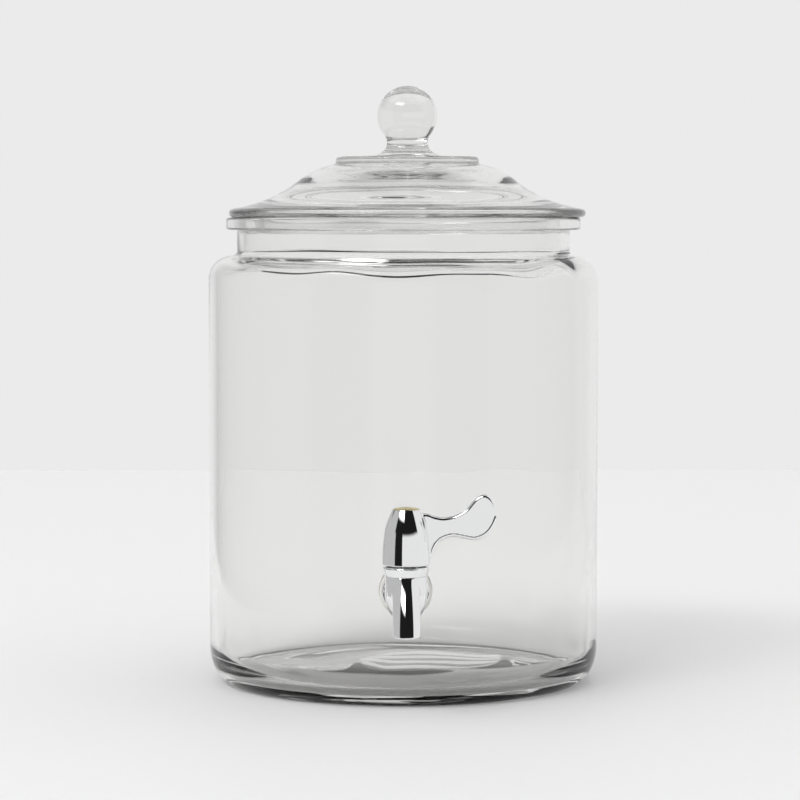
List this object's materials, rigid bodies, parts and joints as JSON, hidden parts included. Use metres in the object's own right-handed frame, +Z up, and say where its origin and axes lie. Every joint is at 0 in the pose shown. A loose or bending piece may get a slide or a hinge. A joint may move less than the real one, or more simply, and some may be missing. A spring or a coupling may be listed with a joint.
{
  "type": "glass dispenser jar with tap",
  "caption": "Clear glass countertop dispenser jar for liquid detergent or drinks, with a lift-off glass lid and a quarter-turn lever tap low on the front.",
  "frame": {"origin": "centre of the jar's foot, on the surface that the jar stands on", "axes": "+Z up along the jar's axis; the tap is at the front, -Y; the shut lever points to +X"},
  "size_m": [0.22, 0.2658, 0.336],
  "materials": {
    "clear_glass": "polished",
    "chrome_plate": "polished",
    "brass_disc": "satin",
    "silicone": "satin",
    "white_plastic": "satin",
    "black_rubber": "satin",
    "steel": "satin"
  },
  "bodies": {
    "jar": {"jar": "clear_glass", "tap_body": "chrome_plate", "bonnet_ring": "chrome_plate", "stem_o_ring": "black_rubber", "stem_washer": "white_plastic", "inlet_seal": "black_rubber", "outer_gasket": "silicone", "inner_gasket": "silicone", "backing_washer": "white_plastic", "lock_nut": "white_plastic"},
    "lid": {"lid": "clear_glass"},
    "lever": {"lever_handle": "chrome_plate", "cap_disc": "brass_disc", "handle_screw": "steel", "valve_plug": "white_plastic", "plug_o_ring": "black_rubber"}
  },
  "joints": [
    {"name": "lever_turn", "type": "hinge", "parent": "jar", "child": "lever", "pos_m": [0, -0.13, 0.08], "axis": [0, 0, -1], "range_deg": [0, 90]},
    {"name": "lid_lift", "type": "slide", "parent": "jar", "child": "lid", "axis": [0, 0, 1], "range_m": [0, 0.1]}
  ]
}
